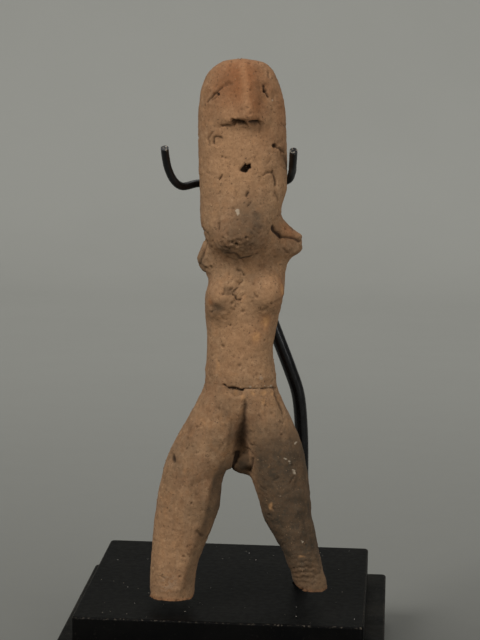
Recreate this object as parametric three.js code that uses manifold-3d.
// A hand-pinched clay figurine, held just clear of a stepped black base by a bent rod and a hooked wire.
// Millimetres, +Z up, the figure faces -Y. The origin is the middle of the base's underside.
import * as THREE from "three";
import { mergeVertices } from "three/addons/utils/BufferGeometryUtils.js";
import Module from "manifold-3d";

const wasm = await Module();
wasm.setup();

// Sizes of the stepped base
const LOWER_SIDE = 73;
const LOWER_HEIGHT = 12.25;
const UPPER_SIDE = 64;
const UPPER_HEIGHT = 7.75;
const BASE_TOP = LOWER_HEIGHT + UPPER_HEIGHT;
const BASE_CORNER = 1.1;
const BASE_EASE = 0.5;

// Sizes of the rod and the wire, and the air left between neighbours
const ROD_RADIUS = 1.5;
const ROD_X = 16.6;
const ROD_SOCKET = 7;
const WIRE_RADIUS = 0.85;
const CLEAR = 0.3;

// The figure's own frame: X from its middle line, Z from the sole of its lower foot, -Y to its front
const FIGURE_AT = new THREE.Vector3(4, -20, 22);
const CROWN = 119.5;
const CROWN_ARCH = 14.5;
const CROWN_POWER = 2.65;
const NAPE = 92;

// Sections of the figure from low to high: height, left edge, right edge, front, back
const HEAD = [
  [74.5, -5.8, 5.6, -2.4, 4.2],
  [77.5, -7.2, 6.4, -4.4, 4.4],
  [80.5, -8.2, 7.0, -6.4, 4.3],
  [84, -9.2, 7.6, -7.1, 4.1],
  [88, -9.5, 7.9, -7.0, 3.9],
  [91.5, -9.65, 9.0, -7.0, 4.1],
  [95, -10.0, 9.0, -7.0, 5.8],
  [100, -10.2, 9.0, -6.9, 6.8],
  [106, -10.4, 8.6, -6.5, 7.0],
  [CROWN, -10.8, 8.0, -6.2, 6.4],
];
const TORSO = [
  [33, -8.5, 8.0, -2.5, 5.5],
  [37, -11.6, 10.4, -4.9, 6.9],
  [41, -11.8, 10.8, -5.8, 7.3],
  [45, -9.9, 9.0, -5.8, 6.4],
  [50, -8.6, 7.7, -5.4, 5.3],
  [56, -7.9, 6.6, -5.0, 4.6],
  [62, -8.2, 7.5, -5.1, 4.6],
  [67, -8.4, 8.2, -5.0, 4.9],
  [72, -7.5, 9.0, -4.4, 5.0],
  [77, -7.4, 8.4, -3.6, 4.8],
  [82, -5.5, 6.8, -2.2, 3.6],
];
const LEFT_LEG = [
  [-0.2, -20.0, -10.2, -5.6, 3.6],
  [7, -20.0, -9.5, -5.6, 4.2],
  [15.7, -19.3, -6.5, -5.9, 5.6],
  [19.3, -19.0, -5.3, -6.1, 6.1],
  [22.5, -18.6, -4.7, -6.2, 6.6],
  [29, -17.3, -3.5, -6.2, 7.2],
  [33.5, -15.8, -1.1, -6.0, 7.4],
  [38, -13.2, 0.1, -5.5, 6.9],
  [42.5, -8.6, 0.0, -4.2, 5.2],
];
const RIGHT_LEG = [
  [2.2, 12.8, 19.8, -5.0, 2.2],
  [5, 12.0, 19.2, -5.4, 2.8],
  [11.5, 9.4, 17.6, -5.6, 4.0],
  [17, 6.4, 16.3, -5.8, 5.0],
  [25, 3.2, 15.2, -6.0, 6.4],
  [32, 1.2, 14.1, -6.0, 7.2],
  [38, 0.4, 11.9, -5.6, 6.9],
  [42.5, 0.5, 8.1, -4.2, 5.2],
];
const HEAD_BOXINESS = 2.5;
const BODY_BOXINESS = 2.3;
const STUB_BOXINESS = 3.4;

// The pinched nose and the jutting chin, pushed out of the front of the head
const NOSE_X = -0.3;
const NOSE_TIP = 106.6;
const NOSE_TOP = 121;
const NOSE_UNDERSIDE = 1.2;
const NOSE_REACH = 3.2;
const NOSE_HALF = 6.4;
const CHIN_X = -0.4;
const CHIN_HEIGHT = 83.2;
const CHIN_REACH = 3.4;
const CHIN_SPREAD = 5.4;

// The glued break round the waist
const REPAIR_HEIGHT = 48.8;
const REPAIR_DEPTH = 0.35;
const REPAIR_HALF = 0.6;

// The cleft between the thighs, deep in front and faint behind
const CLEFT_TOP = 46;
const CLEFT_FOOT = 36;
const CLEFT_HALF = 1.5;
const CLEFT_FRONT = 2.4;
const CLEFT_BACK = 0.9;

// Spacing of the surface mesh: finer where an edge overhangs or the repair runs
const CELL = 1.55;
const ROW = 2.3;
const FINE_ROW = 0.7;
const FINE_BANDS = [
  [-1, 4],
  [REPAIR_HEIGHT - 1.4, REPAIR_HEIGHT + 1.4],
  [76, 80.5],
  [104.6, 108],
];

const { clamp, lerp, smoothstep } = THREE.MathUtils;

function bell(t) {
  return Math.exp(-t * t);
}

// Joins two solids given by their distances, with a fillet of about the given width
function blend(a, b, width) {
  const h = Math.max(width - Math.abs(a - b), 0) / width;
  return Math.min(a, b) - (h * h * width) / 4;
}

// A limb whose level sections are rounded boxes between the edges of its stations
function limb(stations, boxiness, sole, narrow = () => 1) {
  const heights = stations.map((station) => station[0]);
  const edges = stations.flatMap((station) => station.slice(1));
  const profile = new THREE.CubicInterpolant(heights, edges, 4);
  const low = heights[0];
  const high = heights.at(-1);
  return (x, y, z) => {
    const [left, right, front, back] = profile.evaluate(clamp(z, low, high));
    const halfWidth = ((right - left) / 2) * narrow(z);
    const halfDepth = ((back - front) / 2) * narrow(z);
    const u = Math.abs(x - (left + right) / 2) / halfWidth;
    const v = Math.abs(y - (front + back) / 2) / halfDepth;
    const radius = (u ** boxiness + v ** boxiness) ** (1 / boxiness);
    const side = (radius - 1) * Math.min(halfWidth, halfDepth);
    const end = Math.max(z - high, low - z);
    return -blend(-side, -end, sole);
  };
}

// A ball pulled to the given radii; a boxiness over 2 squares it off
function ellipsoid(centre, radii, boxiness = 2) {
  const least = Math.min(...radii);
  return (x, y, z) => {
    const u = Math.abs(x - centre[0]) / radii[0];
    const v = Math.abs(y - centre[1]) / radii[1];
    const w = Math.abs(z - centre[2]) / radii[2];
    return ((u ** boxiness + v ** boxiness + w ** boxiness) ** (1 / boxiness) - 1) * least;
  };
}

// The crown closes the head in a flattened arch
function crownArch(z) {
  const t = clamp((z - CROWN + CROWN_ARCH) / CROWN_ARCH, 0, 0.9999);
  return (1 - t ** CROWN_POWER) ** (1 / CROWN_POWER);
}

// How far the nose and the chin stand out of the face
function facePush(x, z) {
  const rise = Math.max(NOSE_TOP - z, 0) / (NOSE_TOP - NOSE_TIP);
  const under = smoothstep(z, NOSE_TIP - NOSE_UNDERSIDE, NOSE_TIP);
  const wedge = Math.max(1 - Math.abs(x - NOSE_X) / NOSE_HALF, 0);
  const nose = NOSE_REACH * Math.min(rise, 1) * under * wedge;
  const chin = bell((z - CHIN_HEIGHT) / CHIN_SPREAD) * bell((x - CHIN_X) / CHIN_SPREAD);
  return nose + CHIN_REACH * chin;
}

const headColumn = limb(HEAD, HEAD_BOXINESS, 0.1, crownArch);
const torso = limb(TORSO, BODY_BOXINESS, 1);
const leftLeg = limb(LEFT_LEG, BODY_BOXINESS, 0.6);
const rightLeg = limb(RIGHT_LEG, BODY_BOXINESS, 2.2);
const leftArmStub = ellipsoid([-6.6, 0.6, 76.2], [3.6, 3.6, 3.9]);
const rightArmRoot = ellipsoid([7.1, 0.4, 80.0], [3.5, 3.8, 5.3]);
const rightArmTip = ellipsoid([10.1, 0.2, 80.2], [2.75, 2.7, 2.4], STUB_BOXINESS);
const leftBreast = ellipsoid([-4.4, -3.3, 67.8], [3.7, 3.4, 4.3]);
const rightBreast = ellipsoid([5.0, -3.2, 69.4], [3.8, 3.4, 4.8]);
const crotchLump = ellipsoid([0.3, 1.6, 31.1], [3.0, 3.4, 3.0]);

function head(x, y, z) {
  const atFront = 1 - smoothstep(y, -3.5, 1);
  return headColumn(x, y + facePush(x, z) * atFront, z);
}

// The whole figure: negative inside the clay
function figure(x, y, z) {
  const legs = blend(leftLeg(x, y, z), rightLeg(x, y, z), 1.2);
  let clay = blend(torso(x, y, z), legs, 2);
  clay = blend(clay, leftBreast(x, y, z), 1.6);
  clay = blend(clay, rightBreast(x, y, z), 1.6);
  const cleftDepth = lerp(CLEFT_FRONT, CLEFT_BACK, smoothstep(y, -2, 4));
  const cleftFade = 1 - smoothstep(z, CLEFT_FOOT, CLEFT_TOP);
  clay += cleftDepth * bell(x / CLEFT_HALF) * cleftFade;
  clay = blend(clay, crotchLump(x, y, z), 1.4);
  clay = blend(clay, head(x, y, z), 1.2);
  clay = blend(clay, leftArmStub(x, y, z), 1.5);
  clay = blend(clay, blend(rightArmRoot(x, y, z), rightArmTip(x, y, z), 2.5), 1.5);
  return clay + REPAIR_DEPTH * bell((z - REPAIR_HEIGHT) / REPAIR_HALF);
}

// Where a line along Y from `start` first meets the clay
function surfaceY(x, z, start, step) {
  let y = start;
  while (figure(x, y, z) > 0) y += step;
  return y;
}

function evenSteps(low, high, step) {
  const count = Math.ceil((high - low) / step);
  return Array.from({ length: count + 1 }, (_, i) => low + i * step);
}

function rowHeights() {
  const rows = [-0.9];
  while (rows.at(-1) < CROWN + ROW) {
    const next = rows.at(-1) + ROW / 2;
    const fine = FINE_BANDS.some(([low, high]) => next > low && next < high);
    rows.push(rows.at(-1) + (fine ? FINE_ROW : ROW));
  }
  return rows;
}

// One point for each grid cell that the surface crosses, and a square across each crossed grid edge
function skin(field, axes) {
  const [nx, ny, nz] = axes.map((axis) => axis.length);
  const stride = [1, nx, nx * ny];
  const value = new Float64Array(nx * ny * nz);
  const pointOf = new Int32Array(nx * ny * nz).fill(-1);
  const points = [];
  const triangles = [];
  const each = (act) => {
    for (let k = 0; k < nz; k++) {
      for (let j = 0; j < ny; j++) {
        for (let i = 0; i < nx; i++) act([i, j, k], i + stride[1] * j + stride[2] * k);
      }
    }
  };
  each(([i, j, k], at) => {
    value[at] = field(axes[0][i], axes[1][j], axes[2][k]);
  });
  each((cell, at) => {
    if (cell[0] === nx - 1 || cell[1] === ny - 1 || cell[2] === nz - 1) return;
    const point = cellPoint(cell, at, value, stride, axes);
    if (!point) return;
    pointOf[at] = points.length;
    points.push(settle(point, field));
  });
  each((cell, at) => {
    for (let a = 0; a < 3; a++) {
      const b = (a + 1) % 3;
      const c = (a + 2) % 3;
      if (cell[b] === 0 || cell[c] === 0 || cell[a] === axes[a].length - 1) continue;
      const inside = value[at] < 0;
      if (inside === value[at + stride[a]] < 0) continue;
      const ring = [at, at - stride[b], at - stride[b] - stride[c], at - stride[c]].map((n) => pointOf[n]);
      if (!inside) ring.reverse();
      triangles.push(...square(ring, points));
    }
  });
  const geometry = new THREE.BufferGeometry();
  geometry.setAttribute("position", new THREE.Float32BufferAttribute(points.flatMap((p) => p.toArray()), 3));
  geometry.setIndex(triangles);
  return geometry;
}

// The mean of the points where the cell's edges pass through the surface
function cellPoint(cell, at, value, stride, axes) {
  const sum = new THREE.Vector3();
  let crossings = 0;
  for (let a = 0; a < 3; a++) {
    const b = (a + 1) % 3;
    const c = (a + 2) % 3;
    for (const [db, dc] of [[0, 0], [0, 1], [1, 0], [1, 1]]) {
      const from = at + db * stride[b] + dc * stride[c];
      const v0 = value[from];
      const v1 = value[from + stride[a]];
      if (v0 < 0 === v1 < 0) continue;
      const place = [];
      place[a] = lerp(axes[a][cell[a]], axes[a][cell[a] + 1], v0 / (v0 - v1));
      place[b] = axes[b][cell[b] + db];
      place[c] = axes[c][cell[c] + dc];
      sum.add(new THREE.Vector3(...place));
      crossings += 1;
    }
  }
  return crossings ? sum.divideScalar(crossings) : null;
}

// Moves a point along the field's slope until it lies on the surface
function settle(point, field) {
  const h = 0.05;
  const slope = new THREE.Vector3();
  for (let round = 0; round < 3; round++) {
    const { x, y, z } = point;
    const here = field(x, y, z);
    slope.set(field(x + h, y, z) - here, field(x, y + h, z) - here, field(x, y, z + h) - here);
    slope.divideScalar(h);
    const move = clamp(-here / Math.max(slope.lengthSq(), 0.2), -0.4, 0.4);
    point.addScaledVector(slope, move);
  }
  return point;
}

function square(ring, points) {
  const [a, b, c, d] = ring;
  const acrossAC = points[a].distanceTo(points[c]);
  const acrossBD = points[b].distanceTo(points[d]);
  return acrossAC < acrossBD ? [a, b, c, a, c, d] : [a, b, d, b, c, d];
}

function toSolid(geometry) {
  const bare = geometry.clone();
  bare.deleteAttribute("normal");
  bare.deleteAttribute("uv");
  const merged = mergeVertices(bare, 1e-4);
  return new wasm.Manifold(
    new wasm.Mesh({
      numProp: 3,
      vertProperties: new Float32Array(merged.attributes.position.array),
      triVerts: new Uint32Array(merged.index.array),
    }),
  );
}

function toGeometry(solid) {
  const mesh = solid.getMesh();
  const geometry = new THREE.BufferGeometry();
  geometry.setAttribute("position", new THREE.BufferAttribute(mesh.vertProperties, 3));
  geometry.setIndex(new THREE.BufferAttribute(mesh.triVerts, 1));
  geometry.computeVertexNormals();
  return geometry;
}

// A pointed gouge across the front of the clay, from one place to another as seen from the front
function gouge([x0, z0], [x1, z1], width, depth) {
  const x = (x0 + x1) / 2;
  const z = (z0 + z1) / 2;
  const cutter = new THREE.OctahedronGeometry(1);
  cutter.scale(Math.hypot(x1 - x0, z1 - z0) / 2, depth, width / 2);
  cutter.rotateY(-Math.atan2(z1 - z0, x1 - x0));
  cutter.translate(x, surfaceY(x, z, -15, 0.02), z);
  return toSolid(cutter);
}

// Eyes, the slit under the nose, the mouth hole, the torn right arm and the open part of the repair
const GOUGES = [
  gouge([-8.2, 110.2], [-4.6, 113.7], 1.3, 1.1),
  gouge([4.0, 114.4], [5.1, 111.4], 1.3, 1.1),
  gouge([-4.4, 105.7], [0.4, 106.4], 1.5, 1.4),
  gouge([0.2, 106.2], [4.4, 106.3], 1.3, 1.3),
  gouge([-1.0, 96.6], [2.2, 97.0], 2.0, 1.8),
  gouge([6.4, 84.6], [8.6, 81.7], 1.4, 1.5),
  gouge([8.2, 81.9], [12.2, 81.1], 1.3, 1.4),
  gouge([-3.4, 48.9], [0.8, 48.7], 1.2, 1.3),
];

function figurineGeometry() {
  const axes = [evenSteps(-22, 21.5, CELL), evenSteps(-13, 10, CELL), rowHeights()];
  let solid = toSolid(skin(figure, axes));
  for (const cutter of GOUGES) solid = solid.subtract(cutter);
  return toGeometry(solid);
}

function bar(points, radius, steps, sides) {
  const path = new THREE.CatmullRomCurve3(points.map((p) => new THREE.Vector3(...p)));
  const round = new THREE.Shape().absarc(0, 0, radius, 0, Math.PI * 2);
  const settings = { steps, curveSegments: sides, extrudePath: path };
  return new THREE.ExtrudeGeometry(round, settings);
}

// The wire lies in the hollow of the nape; its hooks turn up and forward beside the face
const WIRE_Z = FIGURE_AT.z + NAPE;
const WIRE_X = 1.4;
const WIRE_Y = FIGURE_AT.y + surfaceY(WIRE_X - FIGURE_AT.x, NAPE, 12, -0.02) + WIRE_RADIUS + CLEAR;
const WIRE_PATH = [
  [-12.8, -26.6, WIRE_Z + 8.3],
  [-12.6, -25, WIRE_Z + 6.2],
  [-11.9, -23.4, WIRE_Z + 3.6],
  [-10.7, -21.8, WIRE_Z + 1.1],
  [-8.9, -19.8, WIRE_Z - 0.3],
  [-6.0, -17, WIRE_Z],
  [-2.5, -15.1, WIRE_Z],
  [WIRE_X, WIRE_Y, WIRE_Z],
  [6, -14.6, WIRE_Z],
  [10.2, -15.1, WIRE_Z + 0.5],
  [13.1, -16.8, WIRE_Z + 1.5],
  [14.0, -19.2, WIRE_Z + 3.3],
  [14.3, -22.4, WIRE_Z + 5.4],
  [14.6, -26, WIRE_Z + 8.3],
];

// The rod stands in its socket, then leans in to end behind the wire
const ROD_TOP_Y = WIRE_Y + WIRE_RADIUS + CLEAR + ROD_RADIUS;
const ROD_PATH = [
  [ROD_X, 0, BASE_TOP - ROD_SOCKET + CLEAR],
  [ROD_X, 0, 32],
  [ROD_X, -0.2, 47],
  [16.3, -1.2, 57.2],
  [15.4, -2.6, 65.6],
  [13.5, -4, 71.6],
  [9.7, -6.2, 81.8],
  [5.2, -8.7, 94.5],
  [2.4, -10.3, 104.5],
  [WIRE_X, ROD_TOP_Y, WIRE_Z + 1.8],
];

function blockGeometry(side, height) {
  const near = side / 2 - BASE_CORNER;
  const outline = new THREE.Shape();
  for (const [x, y, quarter] of [[1, -1, -1], [1, 1, 0], [-1, 1, 1], [-1, -1, 2]]) {
    const start = (quarter * Math.PI) / 2;
    outline.absarc(x * near, y * near, BASE_CORNER, start, start + Math.PI / 2);
  }
  const geometry = new THREE.ExtrudeGeometry(outline, {
    depth: height - 2 * BASE_EASE,
    bevelThickness: BASE_EASE,
    bevelSize: BASE_EASE,
    bevelOffset: -BASE_EASE,
    bevelSegments: 1,
    curveSegments: 4,
  });
  return geometry.translate(0, 0, BASE_EASE);
}

function upperBlockGeometry() {
  const block = blockGeometry(UPPER_SIDE, UPPER_HEIGHT);
  const drill = new THREE.CylinderGeometry(ROD_RADIUS + CLEAR, ROD_RADIUS + CLEAR, 2 * ROD_SOCKET, 24);
  drill.rotateX(Math.PI / 2);
  drill.translate(ROD_X, 0, UPPER_HEIGHT);
  return toGeometry(toSolid(block).subtract(toSolid(drill)));
}

const clay = new THREE.MeshStandardMaterial({ color: 0x8a6a4b, roughness: 0.92, metalness: 0 });
const rodPaint = new THREE.MeshStandardMaterial({ color: 0x121213, roughness: 0.25, metalness: 0.1 });
const wirePaint = new THREE.MeshStandardMaterial({ color: 0x161514, roughness: 0.35, metalness: 0.1 });
const upperLacquer = new THREE.MeshStandardMaterial({ color: 0x151515, roughness: 0.4, metalness: 0 });
const lowerLacquer = new THREE.MeshStandardMaterial({ color: 0x171716, roughness: 0.45, metalness: 0 });

const part = new THREE.Group();

function piece(name, geometry, material, position) {
  const mesh = new THREE.Mesh(geometry, material);
  mesh.name = name;
  mesh.position.copy(position);
  part.add(mesh);
}

piece("figurine", figurineGeometry(), clay, FIGURE_AT);
piece("support_rod", bar(ROD_PATH, ROD_RADIUS, 26, 6), rodPaint, new THREE.Vector3());
piece("cradle_wire", bar(WIRE_PATH, WIRE_RADIUS, 44, 5), wirePaint, new THREE.Vector3());
piece("upper_block", upperBlockGeometry(), upperLacquer, new THREE.Vector3(0, 0, LOWER_HEIGHT));
piece("lower_block", blockGeometry(LOWER_SIDE, LOWER_HEIGHT), lowerLacquer, new THREE.Vector3());

export default part;
